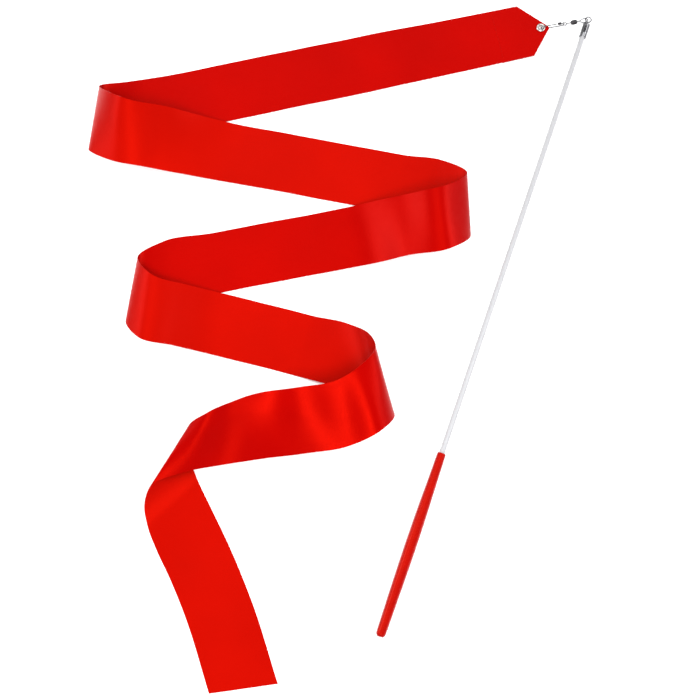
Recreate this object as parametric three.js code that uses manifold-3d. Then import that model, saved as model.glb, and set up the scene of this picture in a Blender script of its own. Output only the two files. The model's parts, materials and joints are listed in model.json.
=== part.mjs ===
// Rhythmic gymnastics ribbon wand: a satin ribbon laid in zigzag folds, a wire snap, a barrel swivel
// and a slim rod with a plastic grip. Millimetres, +Z up, everything lies on the plane z = 0.
import * as THREE from 'three';
import { mergeVertices } from 'three/addons/utils/BufferGeometryUtils.js';
import Module from 'manifold-3d';

const wasm = await Module();
wasm.setup();

// ---- driving dimensions -------------------------------------------------------------------------
const WAND_LENGTH = 480;          // top of the tip ring to the butt of the grip
const GRIP_LENGTH = 130;
const GRIP_RADIUS = 4.05;         // at the thickest place, half-way along
const ROD_TIP_RADIUS = 1.9;
const ROD_GRIP_RADIUS = 2.0;
const GAP = 0.3;                  // clearance between pieces that touch

const RIBBON_THICKNESS = 0.4;
const RIBBON_REST = RIBBON_THICKNESS / 2;   // height of the ribbon's middle where it lies flat
const SECTION_GAP = 0.15;         // half the gap between two ribbon sections, along the ribbon
const TIP_CORNER_FAR = [-17.3, 24.8];       // cut corners of the pointed end, seen from the eyelet
const TIP_CORNER_NEAR = [-12.7, -24.7];
const TIP_POINT = [6.5, -0.8];
const TIP_OUTLINE = 70;           // length of the cutting outline, from the eyelet to past that section
const HEM_DROP = 0.7;             // the doubled layer lies this far under the ribbon's end
const HEM_END = 34.3;             // and ends this far from the eyelet

const EYELET = [145.5, 230.5];        // centre of the eyelet, on the ribbon's end
const EYELET_RADIUS = 3.2;
const EYELET_BORE = 2;
const EYELET_BARREL = 2.3;

const CHAIN_HEIGHT = 2.65;        // height of the snap, the swivel and the tip ring
const CHAIN_HEADING = THREE.MathUtils.degToRad(10.8);
const WAND_HEADING = THREE.MathUtils.degToRad(-109.2);

const WIRE = 0.35;                // radius of the snap's wire
const SNAP_ARM = 1.9;             // half the distance between the snap's two arms
const SNAP_BEND_NEAR = 2.1;       // centre of the bend through the eyelet
const SNAP_BEND_FAR = 15.9;       // centre of the bend through the swivel
const HOOK_END = 4.6;
const COLLAR = [12.8, 15.4];
const GATE_PIVOT = 12.6;

const LINK_RING = 18.1;           // centre of the swivel's small ring
const LINK_RING_RADIUS = 1.3;
const BARREL = [22.9, 27.5];
const HEAD_RADIUS = 0.85;         // the beads that hold both eyes inside the barrel
const LOOP_END = 35.4;
const LOOP_HALF_WIDTH = 1.7;
const LOOP_WIRE = 0.4;
const LOOP_TILT = THREE.MathUtils.degToRad(50);

const TIP_RING = 36.15;           // centre of the wand's ring, along the chain
const TIP_RING_RADIUS = 2.15;
const TIP_RING_WIRE = 0.5;
const TIP_SHANK_RADIUS = 0.8;
const FERRULE = [4.2, 15.2];      // along the wand, from the ring's centre
const FERRULE_RADIUS = 2.6;
const FERRULE_BORE = 2.2;
const FERRULE_SEAM = 1.3;         // width of the open seam along its top
const ROD_SEAT = 3.7;             // length of rod held inside it

const RIBBON_WIDTH = 45;
const MOST_SLANT = 1.03;          // a line across it is at most this many widths long
const STATION_SPACING = 48;       // longest distance between two lines across a flat run
const STEP_LENGTH = 5;            // of the facets along the ribbon
const TANGENT_STEP = 0.5;         // distance over which an edge's direction is taken
const TIP_RISE = 3.1;             // the pointed end is held this far up by the snap
const TIP_REACH = 110;            // and comes down to the floor over this length
const TIP_DRAWN_IN = 4;           // the snap gathers it, so that it is this much narrower
const DRAWN_IN_REACH = 150;       // and it widens to its full width over this length

// The flat stretches, by the ends of their middle lines, from the wand end onwards.
const RUNS = [
  { from: [155, 233.8], to: [-125, 171] },
  { from: [-63, 128.5], to: [40, 108.3] },
  { from: [-20.5, 62.5], to: [-88, 49] },
  { from: [-64.5, -3], to: [-28, -12.5] },
];

// The standing folds between them: the middle of the tip, the direction across the ribbon there in
// degrees, from the far edge to the near edge, and the height that each edge is lifted to.
const FOLDS = [
  { tip: [-180.5, 158.5], across: -99, lift: [28, 12] },
  { tip: [88.5, 92], across: -88, lift: [25, 24] },
  { tip: [-148.5, 29], across: -98, lift: [16, 17] },
];

// Side view of a standing fold, with heights as parts of its lift: it rises shortly before its tip,
// is highest just past it, and comes down over the run that it has turned back on.
const FOLD_RISE = { before: 22, height: 0.18 };
const FOLD_TIP = 0.56;
const FOLD_FALL = [{ past: 0.16, height: 1 }, { past: 0.43, height: 0.62 }, { past: 0.7, height: 0.17 }];
const FOLD_LEAN = 0.3;            // a raised stretch leans this much towards the near side

// The last two folds and the arch between them follow no straight run. Each line is the middle's x
// and y, the direction across in degrees, and the height of the far and of the near edge.
const R = RIBBON_REST;
const LAST_FOLD_UP = [[0, -21, -95, 6, 3], [19, -31, -85, 16, 6], [28, -44, -72, 27, 12]];
const ARCH = [
  [18, -56.5, -72, 31, 19], [0, -66, -80, 30, 17], [-28, -71, -87, 28, 13],
  [-56, -74, -95, 27, 9], [-80, -79, -106, 27, 7]];
const ROLL_DOWN = [[-102, -86, -117, 27, 9], [-118, -94, -123, 18, 8], [-121, -106, -127, 8, 5]];
const TAIL = [
  [-117, -122, -134, 1, 1.5], [-108, -142, -142, R, R], [-97, -164, -151, R, R],
  [-84, -194, -164, R, R], [-66, -247, -172, R, R]];

// ---- materials ----------------------------------------------------------------------------------
const finish = (color, roughness, metalness) =>
  new THREE.MeshStandardMaterial({ color, roughness, metalness });
const satin = () => finish(0xd80f04, 0.4, 0);
const brightSteel = () => finish(0xc9cbd0, 0.22, 1);
const darkSteel = () => finish(0x5d5a60, 0.35, 1);
const whiteFibreglass = () => finish(0xe3e3e6, 0.35, 0);
const redPlastic = () => finish(0xc8140a, 0.3, 0);

// ---- joining and cutting ------------------------------------------------------------------------
function solid(geometry) {
  const bare = geometry.clone();
  bare.deleteAttribute('normal');
  bare.deleteAttribute('uv');
  const merged = mergeVertices(bare);
  return new wasm.Manifold(new wasm.Mesh({
    numProp: 3,
    vertProperties: new Float32Array(merged.attributes.position.array),
    triVerts: new Uint32Array(merged.index.array),
  }));
}

function geometryOf(manifold) {
  const mesh = manifold.getMesh();
  const geometry = new THREE.BufferGeometry();
  geometry.setAttribute('position', new THREE.BufferAttribute(mesh.vertProperties, 3));
  geometry.setIndex(new THREE.BufferAttribute(mesh.triVerts, 1));
  geometry.computeVertexNormals();
  return geometry;
}

function named(name, geometry, material) {
  const mesh = new THREE.Mesh(geometry, material);
  mesh.name = name;
  return mesh;
}

// A turned piece on the X axis: the profile lists [along, radius].
function turned(profile, segments = 32) {
  const points = profile.map(([along, radius]) => new THREE.Vector2(radius, along));
  return new THREE.LatheGeometry(points, segments).rotateZ(-Math.PI / 2);
}

// A closed ring profile, for a turned piece with a bore all the way through.
const ringProfile = (profile) => [...profile, profile[0]];

// Round wire along a smooth line.
function wire(points, radius, steps = 40, sides = 12) {
  const section = new THREE.Shape();
  section.absarc(0, 0, radius, 0, 2 * Math.PI);
  const path = new THREE.CatmullRomCurve3(points.map((p) => new THREE.Vector3(...p)));
  return new THREE.ExtrudeGeometry(section, {
    steps, curveSegments: sides / 2, bevelEnabled: false, extrudePath: path,
  });
}

// Round wire along a smooth closed line in the XY plane.
function closedWire(points, radius, steps = 44, sides = 12) {
  const path = new THREE.CatmullRomCurve3(points.map((p) => new THREE.Vector3(...p)), true);
  const vertices = [];
  const faces = [];
  for (let i = 0; i < steps; i += 1) {
    const centre = path.getPointAt(i / steps);
    const along = path.getTangentAt(i / steps);
    const outward = new THREE.Vector3(along.y, -along.x, 0);
    for (let k = 0; k < sides; k += 1) {
      const angle = 2 * Math.PI * k / sides;
      const point = centre.clone().addScaledVector(outward, radius * Math.cos(angle));
      vertices.push(point.x, point.y, radius * Math.sin(angle));
      const [a, b] = [i * sides + k, i * sides + (k + 1) % sides];
      const [c, d] = [a, b].map((v) => (v + sides) % (steps * sides));
      faces.push(a, c, b, b, c, d);
    }
  }
  const geometry = new THREE.BufferGeometry();
  geometry.setAttribute('position', new THREE.Float32BufferAttribute(vertices, 3));
  geometry.setIndex(faces);
  return geometry;
}

// Points of an arc in the XZ plane.
function arc(x, z, radius, from, to, count = 6) {
  return Array.from({ length: count + 1 }, (_, i) => {
    const angle = THREE.MathUtils.degToRad(from + (to - from) * i / count);
    return [x + radius * Math.cos(angle), 0, z + radius * Math.sin(angle)];
  });
}

// ---- ribbon -------------------------------------------------------------------------------------
const line = ([x, y, across, far, near]) => ({ x, y, across, far, near });

function direction(run) {
  const [dx, dy] = [run.to[0] - run.from[0], run.to[1] - run.from[1]];
  return { x: dx / Math.hypot(dx, dy), y: dy / Math.hypot(dx, dy), length: Math.hypot(dx, dy) };
}

// Square across a run, from its far edge to its near edge.
function squareAcross(run) {
  const { x, y } = direction(run);
  return THREE.MathUtils.radToDeg(x > 0 ? Math.atan2(-x, y) : Math.atan2(x, -y));
}

// A line across the ribbon at a distance along a run, which may be before its start or past its end.
function lineOnRun(run, distance, across, far, near) {
  const { x, y } = direction(run);
  const lean = FOLD_LEAN * (far + near) / 2;
  return { x: run.from[0] + x * distance, y: run.from[1] + y * distance - lean, across, far, near };
}

function distanceOnRun(run, [px, py]) {
  const { x, y } = direction(run);
  return (px - run.from[0]) * x + (py - run.from[1]) * y;
}

function flatLines(run, heightAt = () => RIBBON_REST) {
  const { length } = direction(run);
  const count = Math.ceil(length / STATION_SPACING);
  return Array.from({ length: count + 1 }, (_, i) => {
    const distance = length * i / count;
    const height = heightAt(distance);
    return lineOnRun(run, distance, squareAcross(run), height, height);
  });
}

// The lines up to a standing fold's tip.
function foldUp(fold, run) {
  const lift = (part) => fold.lift.map((height) => Math.max(height * part, RIBBON_REST));
  const distance = distanceOnRun(run, fold.tip) - FOLD_RISE.before;
  const tipLift = lift(FOLD_TIP);
  const lean = FOLD_LEAN * (tipLift[0] + tipLift[1]) / 2;
  return [
    lineOnRun(run, distance, (squareAcross(run) + fold.across) / 2, ...lift(FOLD_RISE.height)),
    { x: fold.tip[0], y: fold.tip[1] - lean, across: fold.across, far: tipLift[0], near: tipLift[1] }];
}

// The lines over a standing fold's top and down to the next run.
function foldDown(fold, run) {
  const start = distanceOnRun(run, fold.tip);
  return FOLD_FALL.map(({ past, height }) => {
    const across = fold.across + (squareAcross(run) - fold.across) * past;
    return lineOnRun(run, start * (1 - past), across, ...fold.lift.map((lift) => lift * height));
  });
}

const tipHeight = (distance) => RIBBON_REST + TIP_RISE * Math.max(1 - distance / TIP_REACH, 0) ** 2;
const firstRun = flatLines(RUNS[0], tipHeight);
const SECTIONS = [
  { name: 'ribbon_tip', lines: firstRun.slice(0, 1) },
  { name: 'ribbon_run_1', lines: firstRun.slice(1) },
  ...FOLDS.flatMap((fold, i) => [
    { name: `ribbon_turn_${i + 1}`, lines: foldUp(fold, RUNS[i]) },
    { name: `ribbon_run_${i + 2}`, lines: [...foldDown(fold, RUNS[i + 1]), ...flatLines(RUNS[i + 1])] },
  ]),
  { name: 'ribbon_turn_4', lines: LAST_FOLD_UP.map(line) },
  { name: 'ribbon_run_5', lines: ARCH.map(line) },
  { name: 'ribbon_turn_5', lines: ROLL_DOWN.map(line) },
  { name: 'ribbon_run_6', lines: TAIL.map(line) },
];

// Both ends of a line, so far apart that the ribbon is RIBBON_WIDTH wide square to its own direction,
// except at its gathered end, and where it twists so much that the line would be longer than
// MOST_SLANT allows.
function edges(lines, i) {
  const width = RIBBON_WIDTH - TIP_DRAWN_IN * Math.max(1 - i * STATION_SPACING / DRAWN_IN_REACH, 0);
  const middle = ({ x, y, far, near }) => new THREE.Vector3(x, y, (far + near) / 2);
  const [before, after] = [lines[Math.max(i - 1, 0)], lines[Math.min(i + 1, lines.length - 1)]];
  const along = middle(after).sub(middle(before)).normalize();
  const angle = THREE.MathUtils.degToRad(lines[i].across);
  const across = new THREE.Vector3(Math.cos(angle), Math.sin(angle), 0);
  const rise = lines[i].near - lines[i].far;
  const a = 1 - across.dot(along) ** 2;
  const b = -across.dot(along) * rise * along.z;
  const c = rise ** 2 * (1 - along.z ** 2) - width ** 2;
  const square = (-b + Math.sqrt(b * b - a * c)) / a;
  const longest = Math.sqrt((MOST_SLANT * RIBBON_WIDTH) ** 2 - rise ** 2);
  across.multiplyScalar(Math.min(square, longest)).setZ(rise).multiplyScalar(0.5);
  return [middle(lines[i]).sub(across), middle(lines[i]).add(across)];
}

const ALL_LINES = SECTIONS.flatMap((section) => section.lines);
const LINES = ALL_LINES.map((_, i) => edges(ALL_LINES, i));
const STEPS = LINES.slice(1).map((line, i) =>
  (line[0].distanceTo(LINES[i][0]) + line[1].distanceTo(LINES[i][1])) / 2);
const KNOTS = STEPS.reduce((sums, step) => [...sums, sums.at(-1) + step], [0]);

// Slope of an edge at a line, from the slopes of the stretches before and after it.
function slope(edge, i) {
  const chord = (k) => LINES[k + 1][edge].clone().sub(LINES[k][edge]).divideScalar(STEPS[k]);
  if (i === 0) return chord(0);
  if (i === LINES.length - 1) return chord(i - 1);
  const [before, after] = [STEPS[i - 1], STEPS[i]];
  return chord(i).multiplyScalar(before).addScaledVector(chord(i - 1), after)
    .divideScalar(before + after);
}
const SLOPES = LINES.map((_, i) => [slope(0, i), slope(1, i)]);

// A point on the far (0) or near (1) edge, at a distance along the ribbon.
function edgePoint(edge, along) {
  const i = Math.min(KNOTS.findLastIndex((knot) => knot <= along), STEPS.length - 1);
  const step = STEPS[i];
  const t = (along - KNOTS[i]) / step;
  const point = LINES[i][edge].clone().multiplyScalar(2 * t ** 3 - 3 * t ** 2 + 1)
    .addScaledVector(SLOPES[i][edge], (t ** 3 - 2 * t ** 2 + t) * step)
    .addScaledVector(LINES[i + 1][edge], -2 * t ** 3 + 3 * t ** 2)
    .addScaledVector(SLOPES[i + 1][edge], (t ** 3 - t ** 2) * step);
  point.z = Math.max(point.z, RIBBON_REST);
  return point;
}

// The ribbon's own upward direction at one of its edges, which turns over with each fold.
function edgeNormal(edge, along) {
  const ahead = edgePoint(edge, along + TANGENT_STEP).sub(edgePoint(edge, along));
  return edgePoint(1, along).sub(edgePoint(0, along)).cross(ahead).normalize();
}

// The strip between two distances along the ribbon, as a thin closed solid. Its top and its underside
// are split along the same diagonals, so it stays equally thick where it twists.
function strip(from, to, steps) {
  const vertices = [];
  const faces = [];
  for (let i = 0; i <= steps; i += 1) {
    const along = from + (to - from) * i / steps;
    for (const side of [0.5, -0.5]) {
      for (const edge of [0, 1]) {
        vertices.push(...edgePoint(edge, along)
          .addScaledVector(edgeNormal(edge, along), side * RIBBON_THICKNESS));
      }
    }
    if (i > 0) {
      const [a, b] = [4 * (i - 1), 4 * i];
      faces.push(a, a + 1, b + 1, a, b + 1, b);
      faces.push(a + 2, b + 3, a + 3, a + 2, b + 2, b + 3);
      faces.push(a + 1, a + 3, b + 3, a + 1, b + 3, b + 1);
      faces.push(a + 2, a, b, a + 2, b, b + 2);
    }
  }
  const last = 4 * steps;
  faces.push(0, 2, 3, 0, 3, 1, last, last + 1, last + 3, last, last + 3, last + 2);
  const geometry = new THREE.BufferGeometry();
  geometry.setAttribute('position', new THREE.Float32BufferAttribute(vertices, 3));
  geometry.setIndex(faces);
  geometry.computeVertexNormals();
  return geometry;
}

// A section of the ribbon.
function ribbonSection(index) {
  const first = SECTIONS.slice(0, index).reduce((sum, section) => sum + section.lines.length, 0);
  const last = Math.min(first + SECTIONS[index].lines.length, KNOTS.length - 1);
  const from = KNOTS[first] + (index > 0 ? SECTION_GAP : 0);
  const to = KNOTS[last] - (index < SECTIONS.length - 1 ? SECTION_GAP : 0);
  return strip(from, to, Math.ceil((to - from) / STEP_LENGTH));
}

// Upright prism with the outline of the pointed end, with or without a round hole at the eyelet.
function pointedEnd(length, hole) {
  const outline = new THREE.Shape([
    TIP_POINT, TIP_CORNER_FAR, [-length, TIP_CORNER_FAR[1]], [-length, TIP_CORNER_NEAR[1]],
    TIP_CORNER_NEAR].map((point) => new THREE.Vector2(...point)));
  outline.holes.push(new THREE.Path().absarc(0, 0, hole, 0, 2 * Math.PI, true));
  return new THREE.ExtrudeGeometry(outline, { depth: 10, bevelEnabled: false, curveSegments: 12 })
    .rotateZ(CHAIN_HEADING).translate(EYELET[0], EYELET[1], -2);
}

function ribbonTip() {
  const end = solid(pointedEnd(TIP_OUTLINE, EYELET_BARREL + GAP));
  return geometryOf(solid(ribbonSection(0)).intersect(end));
}

function ribbonHem() {
  const end = solid(pointedEnd(HEM_END, EYELET_BARREL + GAP));
  return geometryOf(solid(ribbonSection(0).translate(0, 0, -HEM_DROP)).intersect(end));
}

function ribbon() {
  const group = new THREE.Group();
  SECTIONS.forEach((section, index) => {
    const geometry = index === 0 ? ribbonTip() : ribbonSection(index);
    group.add(named(section.name, geometry, satin()));
  });
  group.add(named('ribbon_hem', ribbonHem(), satin()));
  return group;
}

// ---- eyelet -------------------------------------------------------------------------------------
// Both pieces stand on the Z axis, with heights above the plane that the ribbon lies on.
function upright(profile) {
  return new THREE.LatheGeometry(
    profile.map(([radius, height]) => new THREE.Vector2(radius, height)), 32).rotateX(Math.PI / 2);
}

function eyelet() {
  const front = upright([
    [EYELET_BORE, 1.4], [EYELET_BARREL, 1.4], [EYELET_BARREL, 3.6], [EYELET_RADIUS, 3.6],
    [EYELET_RADIUS, 3.75], [2.9, 3.95], [2.35, 3.95], [EYELET_BORE, 3.75], [EYELET_BORE, 1.4]]);
  const back = upright([
    [EYELET_BARREL + GAP, 1.4], [EYELET_RADIUS, 1.45], [EYELET_RADIUS, 1.7],
    [EYELET_BARREL + GAP, 1.7], [EYELET_BARREL + GAP, 1.4]]);
  const group = new THREE.Group();
  group.position.set(EYELET[0], EYELET[1], 0);
  group.add(named('eyelet_front', front, brightSteel()), named('eyelet_washer', back, brightSteel()));
  return group;
}

// ---- snap and swivel, along the X axis of the chain ----------------------------------------------
function snap() {
  const frame = wire([
    [HOOK_END, 0, SNAP_ARM],
    ...arc(SNAP_BEND_NEAR, 0, SNAP_ARM, 90, 270),
    [(SNAP_BEND_NEAR + SNAP_BEND_FAR) / 2, 0, -SNAP_ARM],
    ...arc(SNAP_BEND_FAR, 0, SNAP_ARM, -90, 90),
    [COLLAR[1] - 1.2, 0, SNAP_ARM]], WIRE, 70);
  const [start, end] = COLLAR;
  const outer = WIRE + GAP + 0.3;
  const collar = turned(ringProfile([
    [start, outer - 0.1], [start + 0.2, outer], [end - 0.2, outer], [end, outer - 0.1],
    [end, WIRE + GAP], [start, WIRE + GAP]]), 20).translate(0, 0, SNAP_ARM);
  const gateLength = GATE_PIVOT - HOOK_END - 2 * GAP;
  const gate = new THREE.CylinderGeometry(WIRE, WIRE, gateLength, 12).rotateZ(Math.PI / 2)
    .translate(HOOK_END + GAP + gateLength / 2, 0, SNAP_ARM);
  return [
    named('snap_wire', frame, brightSteel()),
    named('snap_collar', collar, darkSteel()),
    named('snap_gate', gate, brightSteel()),
  ];
}

function swivel() {
  const [start, end] = BARREL;
  const shank = (from, to, radius) => solid(
    new THREE.CylinderGeometry(radius, radius, to - from, 16).rotateZ(Math.PI / 2)
      .translate((from + to) / 2, 0, 0));
  const smallRing = solid(new THREE.TorusGeometry(LINK_RING_RADIUS, WIRE, 12, 28)
    .translate(LINK_RING, 0, 0));
  const linkEye = smallRing
    .add(shank(LINK_RING + LINK_RING_RADIUS, start + 1.5, WIRE))
    .add(shank(start + 1.1, start + 1.9, HEAD_RADIUS));

  const hole = WIRE + GAP + 0.05;
  const barrel = turned(ringProfile([
    [start, 1.2], [start + 0.5, 1.5], [start + 1.4, 1.7], [end - 1.4, 1.7], [end - 0.5, 1.5],
    [end, 1.2], [end, hole], [end - 0.7, hole], [end - 1, 1.2], [start + 1, 1.2],
    [start + 0.7, hole], [start, hole]]));

  const neck = end + 1.5;
  const bend = LOOP_END - LOOP_HALF_WIDTH;
  const loop = closedWire([
    [neck, 0, 0], [neck + 1.4, 0.75, 0], [bend - 1.6, 1.45, 0],
    ...arc(bend, 0, LOOP_HALF_WIDTH, 90, -90).map(([x, , z]) => [x, z, 0]),
    [bend - 1.6, -1.45, 0], [neck + 1.4, -0.75, 0]], LOOP_WIRE);
  const wandEye = solid(loop)
    .add(shank(end - 1.6, neck, WIRE))
    .add(shank(end - 1.9, end - 1.1, HEAD_RADIUS))
    .rotate([THREE.MathUtils.radToDeg(LOOP_TILT), 0, 0]);
  return [
    named('swivel_link_eye', geometryOf(linkEye), brightSteel()),
    named('swivel_barrel', barrel, darkSteel()),
    named('swivel_wand_eye', geometryOf(wandEye), brightSteel()),
  ];
}

// ---- wand, along the X axis from the ring's centre to the butt ------------------------------------
const BUTT = WAND_LENGTH - TIP_RING_RADIUS - TIP_RING_WIRE;
const GRIP_START = BUTT - GRIP_LENGTH;
const GRIP_MIDDLE = GRIP_START + GRIP_LENGTH / 2;
const ROD_START = FERRULE[1] - ROD_SEAT;
const ROD_END = BUTT - 11;

function tipEye() {
  const shankEnd = ROD_START - GAP;
  const shank = new THREE.CylinderGeometry(
    TIP_SHANK_RADIUS, TIP_SHANK_RADIUS, shankEnd - TIP_RING_RADIUS, 20)
    .rotateZ(Math.PI / 2).translate((shankEnd + TIP_RING_RADIUS) / 2, 0, 0);
  const ring = new THREE.TorusGeometry(TIP_RING_RADIUS, TIP_RING_WIRE, 14, 36);
  return geometryOf(solid(ring).add(solid(shank)));
}

// A sleeve rolled from sheet, open along its top.
function ferrule() {
  const seam = Math.asin(FERRULE_SEAM / 2 / FERRULE_BORE);
  const section = new THREE.Shape();
  section.absarc(0, 0, FERRULE_RADIUS, seam, 2 * Math.PI - seam);
  section.absarc(0, 0, FERRULE_BORE, 2 * Math.PI - seam, seam, true);
  return new THREE.ExtrudeGeometry(section, {
    depth: FERRULE[1] - FERRULE[0], bevelEnabled: false, curveSegments: 36,
  }).rotateY(Math.PI / 2).rotateX(-Math.PI / 2).rotateX(Math.PI).translate(FERRULE[0], 0, 0);
}

function rod() {
  return turned([
    [ROD_START, 0], [ROD_START, ROD_TIP_RADIUS - 0.2], [ROD_START + 0.3, ROD_TIP_RADIUS],
    [ROD_END, ROD_GRIP_RADIUS], [ROD_END, 0]]);
}

// Half-section of the grip: a long spindle with rounded ends and a blind bore for the rod.
function grip() {
  const bore = ROD_GRIP_RADIUS + GAP;
  const body = [
    [0, 2.75], [1, 3], [20, 3.35], [40, 3.8], [GRIP_LENGTH / 2, GRIP_RADIUS], [92, 3.85],
    [112, 3.55], [GRIP_LENGTH - 3, 3.3], [GRIP_LENGTH - 1.2, 2.9]];
  return turned([
    [ROD_END + GAP, 0], [ROD_END + GAP, bore], [GRIP_START, bore],
    ...body.map(([along, radius]) => [GRIP_START + along, radius]),
    [BUTT, 2], [BUTT, 0]], 40);
}

// The grip rests on its thickest place, so the wand rises a little from ring to butt.
const WAND_TILT = Math.atan((GRIP_RADIUS + 0.05 - CHAIN_HEIGHT) / GRIP_MIDDLE);

function wand() {
  const tilted = new THREE.Group();
  tilted.rotation.y = -WAND_TILT;
  tilted.add(
    named('tip_eye', tipEye(), brightSteel()),
    named('tip_ferrule', ferrule(), brightSteel()),
    named('rod', rod(), whiteFibreglass()),
    named('grip', grip(), redPlastic()),
  );
  const turnedGroup = new THREE.Group();
  turnedGroup.position.set(TIP_RING, 0, 0);
  turnedGroup.rotation.z = WAND_HEADING - CHAIN_HEADING;
  turnedGroup.add(tilted);
  return turnedGroup;
}

// ---- assembly -----------------------------------------------------------------------------------
const chain = new THREE.Group();
chain.position.set(EYELET[0], EYELET[1], CHAIN_HEIGHT);
chain.rotation.z = CHAIN_HEADING;
chain.add(...snap(), ...swivel(), wand());

const ribbonWand = new THREE.Group();
ribbonWand.name = 'rhythmic_ribbon_wand';
ribbonWand.add(ribbon(), eyelet(), chain);

export default ribbonWand;
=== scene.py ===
"""Looks of the rhythmic ribbon wand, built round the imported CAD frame. Shapes are in millimetres, in the
same frame as the CAD, and are scaled to metres as each mesh is made."""
import json
import math

import bmesh
import bpy
from mathutils import Matrix, Vector


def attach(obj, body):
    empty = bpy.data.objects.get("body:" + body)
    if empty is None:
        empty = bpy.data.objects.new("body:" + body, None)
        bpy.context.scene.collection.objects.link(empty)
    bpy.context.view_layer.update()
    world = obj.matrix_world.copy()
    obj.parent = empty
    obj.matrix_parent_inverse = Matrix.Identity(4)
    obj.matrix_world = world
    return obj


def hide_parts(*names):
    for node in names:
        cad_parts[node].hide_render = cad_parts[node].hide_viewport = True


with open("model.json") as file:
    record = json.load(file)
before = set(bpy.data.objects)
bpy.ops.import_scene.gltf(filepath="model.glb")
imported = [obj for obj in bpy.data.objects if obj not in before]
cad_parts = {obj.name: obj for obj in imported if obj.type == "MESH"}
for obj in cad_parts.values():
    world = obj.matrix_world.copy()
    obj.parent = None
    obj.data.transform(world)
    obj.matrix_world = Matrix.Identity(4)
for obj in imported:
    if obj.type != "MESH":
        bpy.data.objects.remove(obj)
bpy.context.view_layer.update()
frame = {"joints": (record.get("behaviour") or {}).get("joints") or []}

MM = 0.001

# ---- places, from the frame's joints ---------------------------------------------------------------
JOINTS = {joint["name"]: joint for joint in frame["joints"]}


def joint_point(name):
    """Where a joint is, in millimetres."""
    return Vector(JOINTS[name]["pos_m"]) / MM


EYELET = joint_point("snap_swing")
TIP_RING = joint_point("wand_swing")
CHAIN_HEADING = math.atan2(TIP_RING.y - EYELET.y, TIP_RING.x - EYELET.x)
CHAIN = Matrix.Translation(EYELET) @ Matrix.Rotation(CHAIN_HEADING, 4, "Z")

# ---- driving dimensions, as in the CAD --------------------------------------------------------------
WAND_LENGTH = 480
GRIP_LENGTH = 130
GRIP_RADIUS = 4.05
ROD_TIP_RADIUS = 1.9
ROD_GRIP_RADIUS = 2.0
WAND_HEADING = math.radians(-109.2)
TIP_RING_RADIUS = 2.15
TIP_RING_WIRE = 0.5
BUTT = WAND_LENGTH - TIP_RING_RADIUS - TIP_RING_WIRE
GRIP_START = BUTT - GRIP_LENGTH
WAND_TILT = math.atan((GRIP_RADIUS + 0.05 - EYELET.z) / (GRIP_START + GRIP_LENGTH / 2))
WAND = (Matrix.Translation(TIP_RING) @ Matrix.Rotation(WAND_HEADING, 4, "Z")
        @ Matrix.Rotation(-WAND_TILT, 4, "Y"))

RIBBON_UV = "metres"              # the ribbon's UV map: across and along, in metres
RIBBON_WIDTH = 45
RIBBON_REST = 0.2
RIBBON_THICKNESS = 0.3
MOST_SLANT = 1.03
STATION_SPACING = 48
TIP_RISE = 3.1
TIP_REACH = 110
TIP_DRAWN_IN = 4
DRAWN_IN_REACH = 150
TIP_CORNER_FAR = (-17.3, 24.8)
TIP_CORNER_NEAR = (-12.7, -24.7)
TIP_POINT = (6.5, -0.8)
HEM_END = 44
HEM_DROP = 0.7
RUNS = [
    ((155, 233.8), (-125, 171)),
    ((-63, 128.5), (40, 108.3)),
    ((-20.5, 62.5), (-88, 49)),
    ((-64.5, -3), (-28, -12.5)),
]
FOLDS = [
    {"tip": (-180.5, 158.5), "across": -99, "lift": (28, 12)},
    {"tip": (88.5, 92), "across": -88, "lift": (25, 24)},
    {"tip": (-148.5, 29), "across": -98, "lift": (16, 17)},
]
FOLD_RISE = {"before": 22, "height": 0.18}
FOLD_TIP = 0.56
FOLD_FALL = [(0.16, 1), (0.43, 0.62), (0.7, 0.17)]
FOLD_LEAN = 0.3
R = RIBBON_REST
LAST_FOLD_UP = [(0, -21, -95, 6, 3), (19, -31, -85, 16, 6), (28, -44, -72, 27, 12)]
ARCH = [(18, -56.5, -72, 31, 19), (0, -66, -80, 30, 17), (-28, -71, -87, 28, 13),
        (-56, -74, -95, 27, 9), (-80, -79, -106, 27, 7)]
ROLL_DOWN = [(-102, -86, -117, 27, 9), (-118, -94, -123, 18, 8), (-121, -106, -127, 8, 5)]
TAIL = [(-117, -122, -134, 1, 1.5), (-108, -142, -142, R, R), (-97, -164, -151, R, R),
        (-84, -194, -164, R, R), (-66, -247, -172, R, R)]

# ---- camera -----------------------------------------------------------------------------------------
CAMERA_PLACE = (0.00425, -0.2872, 1.0137)
CAMERA_TILT = 15                  # degrees away from looking straight down
CAMERA_LENS = 77.14
CAMERA_SENSOR = 36


def make_camera():
    data = bpy.data.cameras.new("camera")
    data.lens = CAMERA_LENS
    data.sensor_width = CAMERA_SENSOR
    data.clip_start = 0.01
    camera = bpy.data.objects.new("camera", data)
    camera.location = CAMERA_PLACE
    camera.rotation_euler = (math.radians(CAMERA_TILT), 0, 0)
    bpy.context.scene.collection.objects.link(camera)
    bpy.context.scene.camera = camera


# ---- materials --------------------------------------------------------------------------------------
def new_material(name, color, roughness, metallic=0.0, **inputs):
    """A Principled material. Returns it with its node tree and its shader."""
    material = bpy.data.materials.new(name)
    material.use_nodes = True
    tree = material.node_tree
    shader = tree.nodes["Principled BSDF"]
    shader.inputs["Base Color"].default_value = (*color, 1)
    shader.inputs["Roughness"].default_value = roughness
    shader.inputs["Metallic"].default_value = metallic
    for key, value in inputs.items():
        shader.inputs[key.replace("_", " ")].default_value = value
    return material, tree, shader


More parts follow.
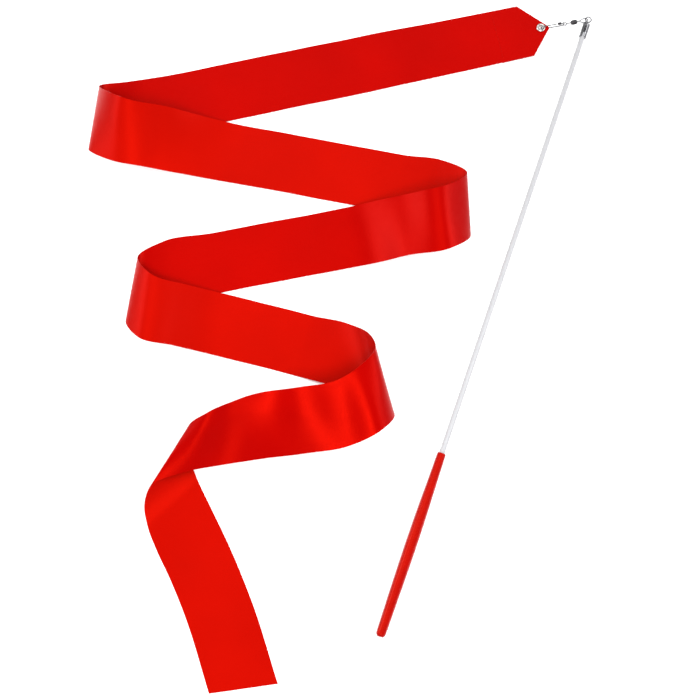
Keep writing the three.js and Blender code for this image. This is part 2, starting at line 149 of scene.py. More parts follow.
def noise(tree, scale, detail=3, stretch=(1, 1, 1), source="Object"):
    """Noise on the object's own coordinates, in metres, stretched by a factor on each axis."""
    coordinates = tree.nodes.new("ShaderNodeTexCoord")
    mapping = tree.nodes.new("ShaderNodeMapping")
    mapping.inputs["Scale"].default_value = stretch
    texture = tree.nodes.new("ShaderNodeTexNoise")
    texture.inputs["Scale"].default_value = scale
    texture.inputs["Detail"].default_value = detail
    tree.links.new(coordinates.outputs[source], mapping.inputs["Vector"])
    tree.links.new(mapping.outputs["Vector"], texture.inputs["Vector"])
    return texture.outputs["Fac"]


def spread(tree, factor, low, high, target):
    """Maps a texture to low..high and links it to a shader's number."""
    ranged = tree.nodes.new("ShaderNodeMapRange")
    ranged.inputs["To Min"].default_value = low
    ranged.inputs["To Max"].default_value = high
    tree.links.new(factor, ranged.inputs["Value"])
    tree.links.new(ranged.outputs["Result"], target)


def tint(tree, factor, dark, light, shader):
    """Colours a shader between two tones by a texture."""
    ramp = tree.nodes.new("ShaderNodeValToRGB")
    ramp.color_ramp.elements[0].position = 0.3
    ramp.color_ramp.elements[0].color = (*dark, 1)
    ramp.color_ramp.elements[1].position = 0.7
    ramp.color_ramp.elements[1].color = (*light, 1)
    tree.links.new(factor, ramp.inputs["Fac"])
    tree.links.new(ramp.outputs["Color"], shader.inputs["Base Color"])


def bump(tree, height, depth, shader, strength=0.5, before=None):
    """Adds a bump of that depth in metres, on top of an earlier one."""
    node = tree.nodes.new("ShaderNodeBump")
    node.inputs["Strength"].default_value = strength
    node.inputs["Distance"].default_value = depth
    tree.links.new(height, node.inputs["Height"])
    if before is not None:
        tree.links.new(before.outputs["Normal"], node.inputs["Normal"])
    tree.links.new(node.outputs["Normal"], shader.inputs["Normal"])
    return node


WAVE_PERIOD = 0.314               # distance between a wave texture's bands at a scale of 1


def threads(tree, pitch, axis):
    """Parallel threads along the ribbon's own UV, whose units are metres."""
    coordinates = tree.nodes.new("ShaderNodeTexCoord")
    wave = tree.nodes.new("ShaderNodeTexWave")
    wave.bands_direction = axis
    wave.inputs["Scale"].default_value = WAVE_PERIOD / pitch
    wave.inputs["Distortion"].default_value = 0.4
    tree.links.new(coordinates.outputs["UV"], wave.inputs["Vector"])
    return wave.outputs["Fac"]


def satin(name, dark, light, roughness):
    """Filament satin: long floats along the ribbon, a faint rib across it, a gloss drawn out across."""
    material, tree, shader = new_material(name, light, roughness[0], Anisotropic=0.7)
    shader.inputs["Specular IOR Level"].default_value = 0.6
    shader.inputs["Specular Tint"].default_value = (1, 0.02, 0.006, 1)
    across = tree.nodes.new("ShaderNodeTangent")
    across.direction_type = "UV_MAP"
    across.uv_map = RIBBON_UV
    tree.links.new(across.outputs["Tangent"], shader.inputs["Tangent"])
    streaks = noise(tree, 900, 4, (1, 0.03, 1), "UV")
    tint(tree, noise(tree, 14), dark, light, shader)
    spread(tree, streaks, *roughness, shader.inputs["Roughness"])
    weave = bump(tree, threads(tree, 0.00022, "X"), 0.00002, shader, 0.25)
    weave = bump(tree, threads(tree, 0.00035, "Y"), 0.00002, shader, 0.2, weave)
    bump(tree, streaks, 0.00004, shader, 0.2, weave)
    return material


def steel(name, dark, light, roughness, scale):
    """Plated wire and sheet, with fine rubbed marks that change its tone and its gloss."""
    material, tree, shader = new_material(name, light, roughness[0], 1.0)
    marks = noise(tree, scale, 5)
    tint(tree, marks, dark, light, shader)
    spread(tree, marks, *roughness, shader.inputs["Roughness"])
    bump(tree, marks, 0.00001, shader, 0.3)
    return material


def fibreglass():
    """White fibre-reinforced rod, with faint fibres along it. Its X axis runs along the rod."""
    material, tree, shader = new_material("fibreglass", (0.4, 0.4, 0.413), 0.45)
    fibres = noise(tree, 2500, 4, (0.02, 1, 1))
    tint(tree, fibres, (0.34, 0.34, 0.353), (0.4, 0.4, 0.413), shader)
    spread(tree, fibres, 0.26, 0.38, shader.inputs["Roughness"])
    bump(tree, fibres, 0.00002, shader, 0.25)
    return material


def grip_plastic():
    material, tree, shader = new_material("grip_plastic", (0.35, 0.002, 0.0006), 0.25)
    shader.inputs["Specular Tint"].default_value = (1, 0.1, 0.05, 1)
    grain = noise(tree, 900, 5)
    tint(tree, noise(tree, 90), (0.27, 0.0012, 0.0004), (0.32, 0.0016, 0.0005), shader)
    spread(tree, grain, 0.2, 0.34, shader.inputs["Roughness"])
    bump(tree, grain, 0.00002, shader, 0.25)
    return material


def thread_material():
    material, tree, shader = new_material("stitch_thread", (0.35, 0.001, 0.0003), 0.5)
    shader.inputs["Specular Tint"].default_value = (1, 0.06, 0.03, 1)
    twist = noise(tree, 5000, 2, (1, 4, 1))
    tint(tree, twist, (0.28, 0.0003, 0.0001), (0.38, 0.001, 0.0003), shader)
    bump(tree, twist, 0.00005, shader, 0.6)
    return material


def floor_material():
    material, tree, shader = new_material("paper_white", (0.9, 0.9, 0.9), 0.8)
    tint(tree, noise(tree, 6), (0.895, 0.895, 0.895), (0.905, 0.905, 0.905), shader)
    shader.inputs["Emission Color"].default_value = (1, 1, 1, 1)
    shader.inputs["Emission Strength"].default_value = 0.2
    return material


# ---- meshes -----------------------------------------------------------------------------------------
SHARP_ANGLE = math.radians(40)    # a steeper edge between two faces stays sharp


def add_object(name, vertices, faces, material, place=Matrix.Identity(4)):
    """A smooth-shaded mesh object in metres, from points in millimetres that are moved to a place."""
    mesh = bpy.data.meshes.new(name)
    mesh.from_pydata([place @ Vector(v) * MM for v in vertices], [], faces)
    tidy = bmesh.new()
    tidy.from_mesh(mesh)
    bmesh.ops.recalc_face_normals(tidy, faces=tidy.faces)
    tidy.to_mesh(mesh)
    tidy.free()
    mesh.polygons.foreach_set("use_smooth", [True] * len(mesh.polygons))
    mesh.set_sharp_from_angle(angle=SHARP_ANGLE)
    mesh.materials.append(material)
    piece = bpy.data.objects.new(name, mesh)
    bpy.context.scene.collection.objects.link(piece)
    return piece


def turned(name, profile, material, place, segments=64, closed=False):
    """A piece turned on the X axis. The profile lists (along, radius), and closes on itself if closed."""
    vertices, faces, rings = [], [], []
    for along, radius in profile:
        if radius == 0:
            rings.append([len(vertices)])
            vertices.append((along, 0, 0))
            continue
        rings.append(list(range(len(vertices), len(vertices) + segments)))
        vertices += [(along, radius * math.cos(2 * math.pi * k / segments),
                      radius * math.sin(2 * math.pi * k / segments)) for k in range(segments)]
    pairs = list(zip(rings, rings[1:])) + ([(rings[-1], rings[0])] if closed else [])
    for a, b in pairs:
        for k in range(segments):
            n = (k + 1) % segments
            corners = [a[k % len(a)], a[n % len(a)], b[n % len(b)], b[k % len(b)]]
            faces.append(list(dict.fromkeys(corners)))
    return add_object(name, vertices, faces, material, place)


def smooth_line(points, steps, closed=False):
    """Points along a Catmull-Rom line through the given ones."""
    count = len(points)
    spans = count if closed else count - 1

    def at(i):
        return Vector(points[i % count] if closed else points[max(0, min(i, count - 1))])
    line = []
    for k in range(spans * steps + (0 if closed else 1)):
        i, t = divmod(k, steps)
        t /= steps
        a, b, c, d = at(i - 1), at(i), at(i + 1), at(i + 2)
        line.append(0.5 * (2 * b + (c - a) * t + (2 * a - 5 * b + 4 * c - d) * t ** 2
                           + (3 * b - a - 3 * c + d) * t ** 3))
    return line


def tube(line, radius, normal, closed=False, sides=20):
    """Round wire along a line that lies in a plane with that normal. Returns vertices and faces."""
    vertices, faces = [], []
    count = len(line)
    for i, point in enumerate(line):
        ahead = line[(i + 1) % count] if closed or i < count - 1 else point
        behind = line[i - 1] if closed or i > 0 else point
        outward = (ahead - behind).normalized().cross(normal)
        for k in range(sides):
            angle = 2 * math.pi * k / sides
            vertices.append(point + radius * (math.cos(angle) * outward + math.sin(angle) * normal))
    for i in range(count if closed else count - 1):
        a, b = i * sides, (i + 1) % count * sides
        faces += [(a + k, a + (k + 1) % sides, b + (k + 1) % sides, b + k) for k in range(sides)]
    if not closed:
        faces += [tuple(range(sides)), tuple(range((count - 1) * sides, count * sides))]
    return vertices, faces


def joined(*pieces):
    """Several pieces made into one object, named as the first."""
    bpy.ops.object.select_all(action="DESELECT")
    for piece in pieces:
        piece.select_set(True)
    bpy.context.view_layer.objects.active = pieces[0]
    bpy.ops.object.join()
    return pieces[0]


def placed(piece, body, slot, *nodes):
    """Puts a piece on its body, in place of those CAD nodes."""
    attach(piece, body)
    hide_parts(*nodes)


# ---- ribbon -----------------------------------------------------------------------------------------
def run_direction(run):
    """A flat run's direction, and its length."""
    (x0, y0), (x1, y1) = run
    length = math.hypot(x1 - x0, y1 - y0)
    return (x1 - x0) / length, (y1 - y0) / length, length


def square_across(run):
    x, y, _ = run_direction(run)
    return math.degrees(math.atan2(-x, y) if x > 0 else math.atan2(x, -y))


def line_on_run(run, distance, across, far, near):
    """A line across the ribbon: its middle's x and y, its direction in degrees, and both heights."""
    x, y, _ = run_direction(run)
    lean = FOLD_LEAN * (far + near) / 2
    return run[0][0] + x * distance, run[0][1] + y * distance - lean, across, far, near


def distance_on_run(run, point):
    x, y, _ = run_direction(run)
    return (point[0] - run[0][0]) * x + (point[1] - run[0][1]) * y


def flat_lines(run, height_at=lambda distance: RIBBON_REST):
    length = run_direction(run)[2]
    count = math.ceil(length / STATION_SPACING)
    distances = [length * i / count for i in range(count + 1)]
    return [line_on_run(run, d, square_across(run), height_at(d), height_at(d)) for d in distances]


def fold_up(fold, run):
    """The lines up to a standing fold's tip."""
    def lift(part):
        return [max(height * part, RIBBON_REST) for height in fold["lift"]]
    distance = distance_on_run(run, fold["tip"]) - FOLD_RISE["before"]
    tip = lift(FOLD_TIP)
    across = (square_across(run) + fold["across"]) / 2
    return [line_on_run(run, distance, across, *lift(FOLD_RISE["height"])),
            (fold["tip"][0], fold["tip"][1] - FOLD_LEAN * sum(tip) / 2, fold["across"], *tip)]


def fold_down(fold, run):
    """The lines over a standing fold's top and down to the next run."""
    start = distance_on_run(run, fold["tip"])
    turn = square_across(run) - fold["across"]
    return [line_on_run(run, start * (1 - past), fold["across"] + turn * past,
                        *[height * part for height in fold["lift"]]) for past, part in FOLD_FALL]


def ribbon_lines():
    def tip_height(distance):
        return RIBBON_REST + TIP_RISE * max(1 - distance / TIP_REACH, 0) ** 2
    lines = flat_lines(RUNS[0], tip_height)
    for i, fold in enumerate(FOLDS):
        lines += fold_up(fold, RUNS[i]) + fold_down(fold, RUNS[i + 1]) + flat_lines(RUNS[i + 1])
    return lines + LAST_FOLD_UP + ARCH + ROLL_DOWN + TAIL


def line_ends(lines, i):
    """Both ends of a line across the ribbon, so that it is RIBBON_WIDTH wide square to its direction.

    Its gathered end is narrower, and where it twists the line is at most MOST_SLANT widths long.
    """
    def middle(line):
        return Vector((line[0], line[1], (line[3] + line[4]) / 2))
    along = (middle(lines[min(i + 1, len(lines) - 1)]) - middle(lines[max(i - 1, 0)])).normalized()
    angle = math.radians(lines[i][2])
    across = Vector((math.cos(angle), math.sin(angle), 0))
    rise = lines[i][4] - lines[i][3]
    a = 1 - across.dot(along) ** 2
    b = -across.dot(along) * rise * along.z
    width = RIBBON_WIDTH - TIP_DRAWN_IN * max(1 - i * STATION_SPACING / DRAWN_IN_REACH, 0)
    c = rise ** 2 * (1 - along.z ** 2) - width ** 2
    square = (-b + math.sqrt(b * b - a * c)) / a
    longest = math.sqrt((MOST_SLANT * RIBBON_WIDTH) ** 2 - rise ** 2)
    across = across * min(square, longest)
    across.z = rise
    return middle(lines[i]) - across / 2, middle(lines[i]) + across / 2


class Ribbon:
    """The ribbon's surface: point(along, across), with across from 0, the far edge, to 1."""

    def __init__(self):
        lines = ribbon_lines()
        self.ends = [line_ends(lines, i) for i in range(len(lines))]
        self.steps = [((b[0] - a[0]).length + (b[1] - a[1]).length) / 2
                      for a, b in zip(self.ends, self.ends[1:])]
        self.knots = [0]
        for step in self.steps:
            self.knots.append(self.knots[-1] + step)
        self.slopes = [(self.slope(0, i), self.slope(1, i)) for i in range(len(lines))]
        self.length = self.knots[-1]

    def slope(self, edge, i):
        def chord(k):
            return (self.ends[k + 1][edge] - self.ends[k][edge]) / self.steps[k]
        if i == 0:
            return chord(0)
        if i == len(self.ends) - 1:
            return chord(i - 1)
        before, after = self.steps[i - 1], self.steps[i]
        return (chord(i) * before + chord(i - 1) * after) / (before + after)

    def edge(self, side, along):
        i = 0
        while i < len(self.steps) - 1 and self.knots[i + 1] <= along:
            i += 1
        step = self.steps[i]
        t = (along - self.knots[i]) / step
        point = (self.ends[i][side] * (2 * t ** 3 - 3 * t ** 2 + 1)
                 + self.slopes[i][side] * ((t ** 3 - 2 * t ** 2 + t) * step)
                 + self.ends[i + 1][side] * (-2 * t ** 3 + 3 * t ** 2)
                 + self.slopes[i + 1][side] * ((t ** 3 - t ** 2) * step))
        point.z = max(point.z, RIBBON_REST)
        return point

    def point(self, along, across):
        return self.edge(0, along).lerp(self.edge(1, along), across)

    def normal(self, along, across):
        """The ribbon's own upward direction, taken backwards at its very end."""
        nudge = 0.5 if along < self.length - 1 else -0.5
        ahead = (self.point(along + nudge, across) - self.point(along, across)) * nudge
        return (self.edge(1, along) - self.edge(0, along)).cross(ahead).normalized()

    def tip_start(self, across):
        """Where the ribbon begins at that place across it, along the two cuts of its pointed end."""
        def past_cut(along):
            local = CHAIN.inverted() @ self.point(along, across)
            side = local.y - TIP_POINT[1]
            corner = TIP_CORNER_FAR if side > 0 else TIP_CORNER_NEAR
            share = side / (corner[1] - TIP_POINT[1])
            return local.x - TIP_POINT[0] - (corner[0] - TIP_POINT[0]) * share
        low, high = 0, HEM_END
        for _ in range(HALVINGS):
            middle = (low + high) / 2
            low, high = (middle, high) if past_cut(middle) > 0 else (low, middle)
        return low


RIBBON = Ribbon()
WAVES = [(0.5, 97, 0.9, 0.3), (0.3, 61, -1.7, 1.9), (0.2, 38, 2.3, 4.1)]   # height, length, skew, phase
WAVE_START = 60                   # the ribbon is pulled smooth up to here, by the snap
WAVE_GROWTH = 60                  # and the waves reach their full height over this length
WAVE_LIFT = 3.5                   # a stretch raised by WAVE_HEIGHT has waves this much higher again
WAVE_HEIGHT = 22
ACROSS_STEPS = 24
ALONG_STEP = 2.5
HALVINGS = 30                     # steps of the search for the pointed end's cuts
EYELET_HOLE = 2.6
HOLE_SIDES = 48
CUTTER_LENGTH = 20


def ripple(along, across, height):
    """How far the soft cloth is lifted off its even shape, in millimetres: most where it stands high."""
    grown = min(max((along - WAVE_START) / WAVE_GROWTH, 0), 1)
    grown *= 1 + WAVE_LIFT * min(height / WAVE_HEIGHT, 1)
    total = sum(h * (1 + math.sin(2 * math.pi * along / length + skew * across + phase))
                for h, length, skew, phase in WAVES)
    return grown * total / 2


def ribbon_piece(name, to, materials, drop=0.0):
    """The ribbon from its pointed end to a distance along it, as a thin closed mesh with metre UVs.
    It has the satin's face on one side and its reverse on the other."""
    columns = [k / ACROSS_STEPS for k in range(ACROSS_STEPS + 1)]
    starts = [RIBBON.tip_start(v) for v in columns]
    rows = math.ceil(to / ALONG_STEP)
    top, bottom, uvs = [], [], []
    for i in range(rows + 1):
        for v, start in zip(columns, starts):
            along = start + (to - start) * i / rows
            middle = RIBBON.point(along, v)
            middle.z = max(middle.z + ripple(along, v, middle.z) - drop, RIBBON_THICKNESS / 2)
            half = RIBBON.normal(along, v) * RIBBON_THICKNESS / 2
            top.append(middle + half)
            bottom.append(middle - half)
            uvs.append((v * RIBBON_WIDTH * MM, along * MM))
    wide, count = ACROSS_STEPS + 1, len(top)
    faces = []
    for i in range(rows):
        for k in range(ACROSS_STEPS):
            a, b = i * wide + k, (i + 1) * wide + k
            faces.append((a, a + 1, b + 1, b))
            faces.append((count + a, count + b, count + b + 1, count + a + 1))
    rim = ([k for k in range(wide)] + [i * wide + wide - 1 for i in range(1, rows + 1)]
           + [rows * wide + k for k in range(wide - 2, -1, -1)]
           + [i * wide for i in range(rows - 1, 0, -1)])
    faces += [(a, b, count + b, count + a) for a, b in zip(rim, rim[1:] + rim[:1])]
    face, reverse = materials
    piece = add_object(name, top + bottom, faces, reverse)
    piece.data.materials.append(face)
    for polygon in piece.data.polygons:
        polygon.material_index = int(all(corner >= count for corner in polygon.vertices))
    layer = piece.data.uv_layers.new(name=RIBBON_UV)
    for loop in piece.data.loops:
        layer.data[loop.index].uv = uvs[loop.vertex_index % count]
    return piece


def cut_hole(piece):
    """Cuts the eyelet's round hole."""
    bpy.ops.mesh.primitive_cylinder_add(
        vertices=HOLE_SIDES, radius=EYELET_HOLE * MM, depth=CUTTER_LENGTH * MM,
        location=(EYELET.x * MM, EYELET.y * MM, EYELET.z * MM))
    cutter = bpy.context.object
    modifier = piece.modifiers.new("hole", "BOOLEAN")
    modifier.object = cutter
    modifier.operation = "DIFFERENCE"
    modifier.solver = "EXACT"
    bpy.context.view_layer.objects.active = piece
    bpy.ops.object.modifier_apply(modifier=modifier.name)
    bpy.data.objects.remove(cutter)


STITCH_LENGTH = 1.8
STITCH_GAP = 0.8
STITCH_RADIUS = 0.16
STITCH_INSET = 1.5                # from the end of the doubled layer
STITCH_MARGIN = 2                 # from each edge of the ribbon
STITCH_SUNK = 0.4                 # of its radius, at both of its ends
STITCH_STEPS = 8


def hem_stitches(material):
    """A row of stitches across the ribbon, which holds its doubled end."""
    count = int((RIBBON_WIDTH - 2 * STITCH_MARGIN) / (STITCH_LENGTH + STITCH_GAP))
    along = HEM_END - STITCH_INSET
    vertices, faces = [], []
    for i in range(count):
        middle = 0.5 + (i - (count - 1) / 2) * (STITCH_LENGTH + STITCH_GAP) / RIBBON_WIDTH
        line = []
        for k in range(STITCH_STEPS + 1):
            t = k / STITCH_STEPS - 0.5
            v = middle + t * STITCH_LENGTH / RIBBON_WIDTH
            raised = RIBBON_THICKNESS / 2 + STITCH_RADIUS * (math.cos(math.pi * t) - STITCH_SUNK)
            line.append(RIBBON.point(along, v) + Vector((0, 0, raised)))
        ahead = (RIBBON.point(along + 1, 0.5) - RIBBON.point(along, 0.5)).normalized()
        more, sides = tube(line, STITCH_RADIUS, ahead, sides=10)
        faces += [tuple(len(vertices) + corner for corner in face) for face in sides]
        vertices += more
    return add_object("hem_stitches", vertices, faces, material)


def make_ribbon():
    cloth = (satin("satin_face", (0.26, 0.0001, 0.0001), (0.3, 0.0002, 0.0001), (0.26, 0.38)),
             satin("satin_reverse", (0.3, 0.0014, 0.0002), (0.345, 0.0019, 0.0003), (0.34, 0.46)))
    ribbon = ribbon_piece("ribbon_cloth", RIBBON.length, cloth)
    hem = ribbon_piece("hem_layer", HEM_END, cloth, drop=HEM_DROP)
    for piece in (ribbon, hem):
        cut_hole(piece)
    stitches = hem_stitches(thread_material())
    runs = [f"ribbon_run_{i}" for i in range(1, 7)]
    turns = [f"ribbon_turn_{i}" for i in range(1, 6)]
    placed(ribbon, "ribbon", "satin", "ribbon_tip", *runs, *turns)
    placed(hem, "ribbon", "satin", "ribbon_hem")
    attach(stitches, "ribbon")


# ---- eyelet -----------------------------------------------------------------------------------------
EYELET_RADIUS = 3.2
EYELET_BORE = 2
EYELET_BARREL = 2.3
EYELET_FOOT = 1.4                 # heights: the lower end of both pieces
WASHER_TOP = 1.7
FLANGE_FOOT = 3.6                 # the flange, from here
ROLL_FOOT = 3.62                  # and its rolled rim, which stands ROLL_HEIGHT higher
ROLL_HEIGHT = 0.34
ROLL_STEPS = 12


def make_eyelet(steel):
    upright = Matrix.Translation((EYELET.x, EYELET.y, 0)) @ Matrix.Rotation(-math.pi / 2, 4, "Y")
    rim = EYELET_RADIUS - EYELET_BORE
    rolled = [(ROLL_FOOT + ROLL_HEIGHT * math.sin(math.pi * k / ROLL_STEPS),
               EYELET_RADIUS - rim * k / ROLL_STEPS) for k in range(ROLL_STEPS + 1)]
    front = turned("eyelet_flange", [
        (EYELET_FOOT, EYELET_BARREL), (FLANGE_FOOT, EYELET_BARREL), (FLANGE_FOOT, EYELET_RADIUS - 0.05),
        *rolled, (EYELET_FOOT, EYELET_BORE)], steel, upright, closed=True)
    washer = turned("eyelet_back", [
        (EYELET_FOOT, EYELET_HOLE), (EYELET_FOOT + 0.02, EYELET_RADIUS - 0.1),
        (EYELET_FOOT + 0.1, EYELET_RADIUS), (WASHER_TOP - 0.02, EYELET_RADIUS),
        (WASHER_TOP, EYELET_RADIUS - 0.1), (WASHER_TOP, EYELET_HOLE)], steel, upright, closed=True)
    placed(front, "ribbon", "bright_steel", "eyelet_front")
    placed(washer, "ribbon", "bright_steel", "eyelet_washer")


# ---- snap and swivel, along the X axis of the chain --------------------------------------------------
WIRE = 0.35
SNAP_ARM = 1.9
SNAP_BEND_NEAR = 2.1
SNAP_BEND_FAR = 15.9
HOOK_END = 4.6
COLLAR = (12.8, 15.4)
GATE_PIVOT = 12.6
GAP = 0.3
LINK_RING = 18.1
LINK_RING_RADIUS = 1.3
BARREL = (22.9, 27.5)
HEAD_RADIUS = 0.85
LOOP_END = 35.4
LOOP_HALF_WIDTH = 1.7
LOOP_WIRE = 0.4
LOOP_TILT = math.radians(50)


def arc(x, other, radius, start, end, count=8):
    """Points (x, other) of an arc, with angles in degrees."""
    angles = [math.radians(start + (end - start) * i / count) for i in range(count + 1)]
    return [(x + radius * math.cos(a), other + radius * math.sin(a)) for a in angles]


def make_snap(bright, dark):
    outline = [(HOOK_END, SNAP_ARM), *arc(SNAP_BEND_NEAR, 0, SNAP_ARM, 90, 270),
               ((SNAP_BEND_NEAR + SNAP_BEND_FAR) / 2, -SNAP_ARM),
               *arc(SNAP_BEND_FAR, 0, SNAP_ARM, -90, 90), (COLLAR[1] - 1.2, SNAP_ARM)]
    line = smooth_line([(x, 0, z) for x, z in outline], 6)
    wire = add_object("snap_loop", *tube(line, WIRE, Vector((0, 1, 0))), bright, CHAIN)
    outer, inner = WIRE + GAP + 0.3, WIRE + GAP
    start, end = COLLAR
    arm = CHAIN @ Matrix.Translation((0, 0, SNAP_ARM))
    collar = turned("snap_sleeve", [
        (start, inner), (start, outer - 0.12), (start + 0.06, outer - 0.03), (start + 0.2, outer),
        (end - 0.2, outer), (end - 0.06, outer - 0.03), (end, outer - 0.12), (end, inner)],
        dark, arm, closed=True)
    tip, back = HOOK_END + GAP, GATE_PIVOT - GAP
    gate = turned("snap_arm", [(tip, 0), (tip, WIRE - 0.12), (tip + 0.12, WIRE), (back - 0.12, WIRE),
                               (back, WIRE - 0.12), (back, 0)], bright, arm)
    placed(wire, "snap", "bright_steel", "snap_wire")
    placed(collar, "snap", "dark_steel", "snap_collar")
    placed(gate, "gate", "bright_steel", "snap_gate")


def bead(name, middle, material, place):
    """The upset head that keeps an eye's shank inside the barrel."""
    half, flat, end_radius = 0.4, 0.2, 0.6
    return turned(name, [
        (middle - half, 0), (middle - half, end_radius), (middle - flat, HEAD_RADIUS),
        (middle + flat, HEAD_RADIUS), (middle + half, end_radius), (middle + half, 0)],
        material, place, 32)


def shank(name, start, end, material, place):
    return turned(name, [(start, 0), (start, WIRE), (end, WIRE), (end, 0)], material, place, 24)


def make_swivel(bright, dark):
    start, end = BARREL
    ring = smooth_line([(LINK_RING + x, y, 0) for x, y in arc(0, 0, LINK_RING_RADIUS, 0, 345, 23)],
                       3, closed=True)
    link = joined(
        add_object("link_ring", *tube(ring, WIRE, Vector((0, 0, 1)), closed=True), bright, CHAIN),
        shank("link_shank", LINK_RING + LINK_RING_RADIUS, start + 1.5, bright, CHAIN),
        bead("link_bead", start + 1.5, bright, CHAIN))
    placed(link, "link_eye", "bright_steel", "swivel_link_eye")

    hole = WIRE + GAP + 0.05
    shell = [(start, hole), (start, 1.1), (start + 0.12, 1.25)]
    shell += [(start + 0.5 + 0.9 * k / 6, 1.5 + 0.2 * math.sin(math.pi / 2 * k / 6)) for k in range(7)]
    shell += [(end - 1.4 + 0.9 * k / 6, 1.7 - 0.2 * (1 - math.cos(math.pi / 2 * k / 6)))
              for k in range(7)]
    shell += [(end - 0.12, 1.25), (end, 1.1), (end, hole), (end - 0.7, hole), (end - 1, 1.2),
              (start + 1, 1.2), (start + 0.7, hole)]
    barrel = turned("barrel_shell", shell, dark, CHAIN, closed=True)
    placed(barrel, "barrel", "dark_steel", "swivel_barrel")

    neck, bend = end + 1.5, LOOP_END - LOOP_HALF_WIDTH
    tilted = CHAIN @ Matrix.Rotation(LOOP_TILT, 4, "X")
    outline = [(neck, 0), (neck + 1.4, 0.75), (bend - 1.6, 1.45),
               *arc(bend, 0, LOOP_HALF_WIDTH, 90, -90), (bend - 1.6, -1.45), (neck + 1.4, -0.75)]
    line = smooth_line([(x, y, 0) for x, y in outline], 6, closed=True)
    eye = joined(
        add_object("wand_loop", *tube(line, LOOP_WIRE, Vector((0, 0, 1)), closed=True), bright, tilted),
        shank("loop_shank", end - 1.6, neck, bright, tilted),
        bead("loop_bead", end - 1.5, bright, tilted))
    placed(eye, "wand_eye", "bright_steel", "swivel_wand_eye")


# ---- wand, along its X axis from the ring's centre to the butt ---------------------------------------
FERRULE = (4.2, 15.2)
FERRULE_RADIUS = 2.6
FERRULE_BORE = 2.2
FERRULE_SEAM = 1.3
TIP_SHANK_RADIUS = 0.8
ROD_SEAT = 3.7
ROD_START = FERRULE[1] - ROD_SEAT
ROD_END = BUTT - 11
GRIP_BODY = [(0, 2.75), (1, 3), (20, 3.35), (40, 3.8), (GRIP_LENGTH / 2, GRIP_RADIUS), (92, 3.85),
             (112, 3.55), (GRIP_LENGTH - 3, 3.3), (GRIP_LENGTH - 1.2, 2.9), (GRIP_LENGTH, 2)]


def make_tip_eye(steel):
    circle = arc(0, 0, TIP_RING_RADIUS, 0, 350, 35)
    line = smooth_line([(x, y, 0) for x, y in circle], 2, closed=True)
    eye = joined(
        add_object("tip_ring", *tube(line, TIP_RING_WIRE, Vector((0, 0, 1)), closed=True), steel, WAND),
        turned("tip_shank", [
            (TIP_RING_RADIUS, 0), (TIP_RING_RADIUS, TIP_SHANK_RADIUS),
            (ROD_START - GAP, TIP_SHANK_RADIUS), (ROD_START - GAP, 0)], steel, WAND, 32))
    placed(eye, "wand", "bright_steel", "tip_eye")


def make_ferrule(steel):
    """A sleeve rolled from sheet, with its seam open along the top and its edges slightly rounded."""
    seam = math.asin(FERRULE_SEAM / 2 / FERRULE_BORE)
    angles = [seam + (2 * math.pi - 2 * seam) * k / 72 for k in range(73)]
    start, end = FERRULE
    section = [(start, FERRULE_BORE), (start, FERRULE_RADIUS - 0.1), (start + 0.1, FERRULE_RADIUS),
               (end - 0.1, FERRULE_RADIUS), (end, FERRULE_RADIUS - 0.1), (end, FERRULE_BORE)]
    corners = len(section)
    vertices = [(along, radius * math.sin(angle), radius * math.cos(angle))
                for angle in angles for along, radius in section]
    faces = [(i * corners + k, i * corners + (k + 1) % corners,
              (i + 1) * corners + (k + 1) % corners, (i + 1) * corners + k)
             for i in range(len(angles) - 1) for k in range(corners)]
    last = (len(angles) - 1) * corners
    faces += [tuple(range(corners)), tuple(range(last, last + corners))]
    placed(add_object("rolled_ferrule", vertices, faces, steel, WAND), "wand", "bright_steel",
           "tip_ferrule")


def make_rod():
    rod = turned("rod_shaft", [
        (ROD_START, 0), (ROD_START, ROD_TIP_RADIUS - 0.2), (ROD_START + 0.3, ROD_TIP_RADIUS),
        (ROD_END, ROD_GRIP_RADIUS), (ROD_END, 0)], fibreglass(), WAND)
    placed(rod, "wand", "rod_white", "rod")


def make_grip():
    body = [(p.x, p.y) for p in smooth_line([(x, r, 0) for x, r in GRIP_BODY], 8)]
    bore = ROD_GRIP_RADIUS + GAP
    profile = [(ROD_END + GAP, 0), (ROD_END + GAP, bore), (GRIP_START, bore)]
    profile += [(GRIP_START + along, radius) for along, radius in body] + [(BUTT, 0)]
    placed(turned("grip_handle", profile, grip_plastic(), WAND), "wand", "grip_red", "grip")


# ---- floor and lights -------------------------------------------------------------------------------
HORIZON = 0.3                     # how bright the room is at floor level
FLOOR_HALF = 4000
FLOOR_DROP = 0.2                  # the floor lies this far under the ribbon


def area_light(name, place, target, size, power):
    data = bpy.data.lights.new(name, "AREA")
    data.shape = "SQUARE"
    data.size = size
    data.energy = power
    light = bpy.data.objects.new(name, data)
    light.location = place
    light.rotation_euler = (Vector(target) - Vector(place)).to_track_quat("-Z", "Y").to_euler()
    bpy.context.scene.collection.objects.link(light)


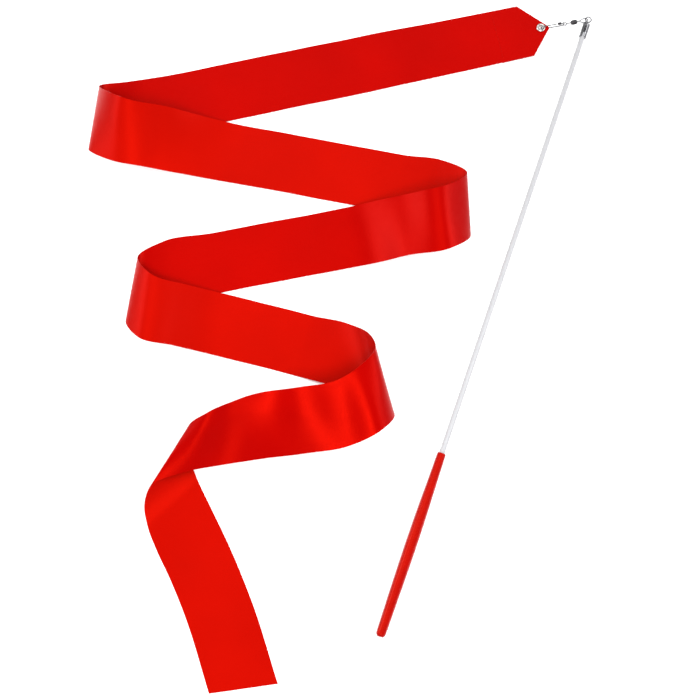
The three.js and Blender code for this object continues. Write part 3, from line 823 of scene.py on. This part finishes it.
def studio_world():
    """White all round and overhead, and grey towards the horizon, where a studio's walls end."""
    world = bpy.data.worlds.new("studio")
    world.use_nodes = True
    tree = world.node_tree
    direction = tree.nodes.new("ShaderNodeTexCoord")
    parts = tree.nodes.new("ShaderNodeSeparateXYZ")
    ramp = tree.nodes.new("ShaderNodeValToRGB")
    ramp.color_ramp.elements[0].position = 0.1
    ramp.color_ramp.elements[0].color = (*[HORIZON] * 3, 1)
    ramp.color_ramp.elements[1].position = 0.6
    ramp.color_ramp.elements[1].color = (1, 1, 1, 1)
    background = tree.nodes["Background"]
    tree.links.new(direction.outputs["Generated"], parts.inputs["Vector"])
    tree.links.new(parts.outputs["Z"], ramp.inputs["Fac"])
    tree.links.new(ramp.outputs["Color"], background.inputs["Color"])
    bpy.context.scene.world = world


def make_stage():
    corners = [(-FLOOR_HALF, -FLOOR_HALF, 0), (FLOOR_HALF, -FLOOR_HALF, 0),
               (FLOOR_HALF, FLOOR_HALF, 0), (-FLOOR_HALF, FLOOR_HALF, 0)]
    floor = add_object("floor", corners, [(0, 1, 2, 3)], floor_material())
    floor.location.z = -FLOOR_DROP * MM
    studio_world()
    area_light("overhead", (-0.1, 0.5, 1.7), (0, 0, 0), 0.9, 7)
    area_light("left", (-1.0, 0.3, 0.9), (0, 0, 0), 0.5, 7.5)
    area_light("right", (1.0, 0.3, 0.9), (0, 0, 0), 0.5, 7.5)
    area_light("front", (0.05, -0.65, 1.2), (0, -0.1, 0), 0.4, 12)
    bpy.context.scene.view_settings.view_transform = "Standard"


# ---- assembly ---------------------------------------------------------------------------------------
bright_steel = steel("polished_steel", (0.13, 0.13, 0.138), (0.24, 0.24, 0.252), (0.12, 0.26), 1800)
pale_nickel = steel("pale_nickel", (0.4, 0.38, 0.36), (0.56, 0.53, 0.5), (0.2, 0.36), 1800)
plated_steel = steel("dark_steel", (0.03, 0.028, 0.03), (0.07, 0.067, 0.071), (0.24, 0.4), 1500)
make_camera()
make_ribbon()
make_eyelet(pale_nickel)
make_snap(bright_steel, plated_steel)
make_swivel(bright_steel, plated_steel)
make_tip_eye(bright_steel)
make_ferrule(bright_steel)
make_rod()
make_grip()
make_stage()
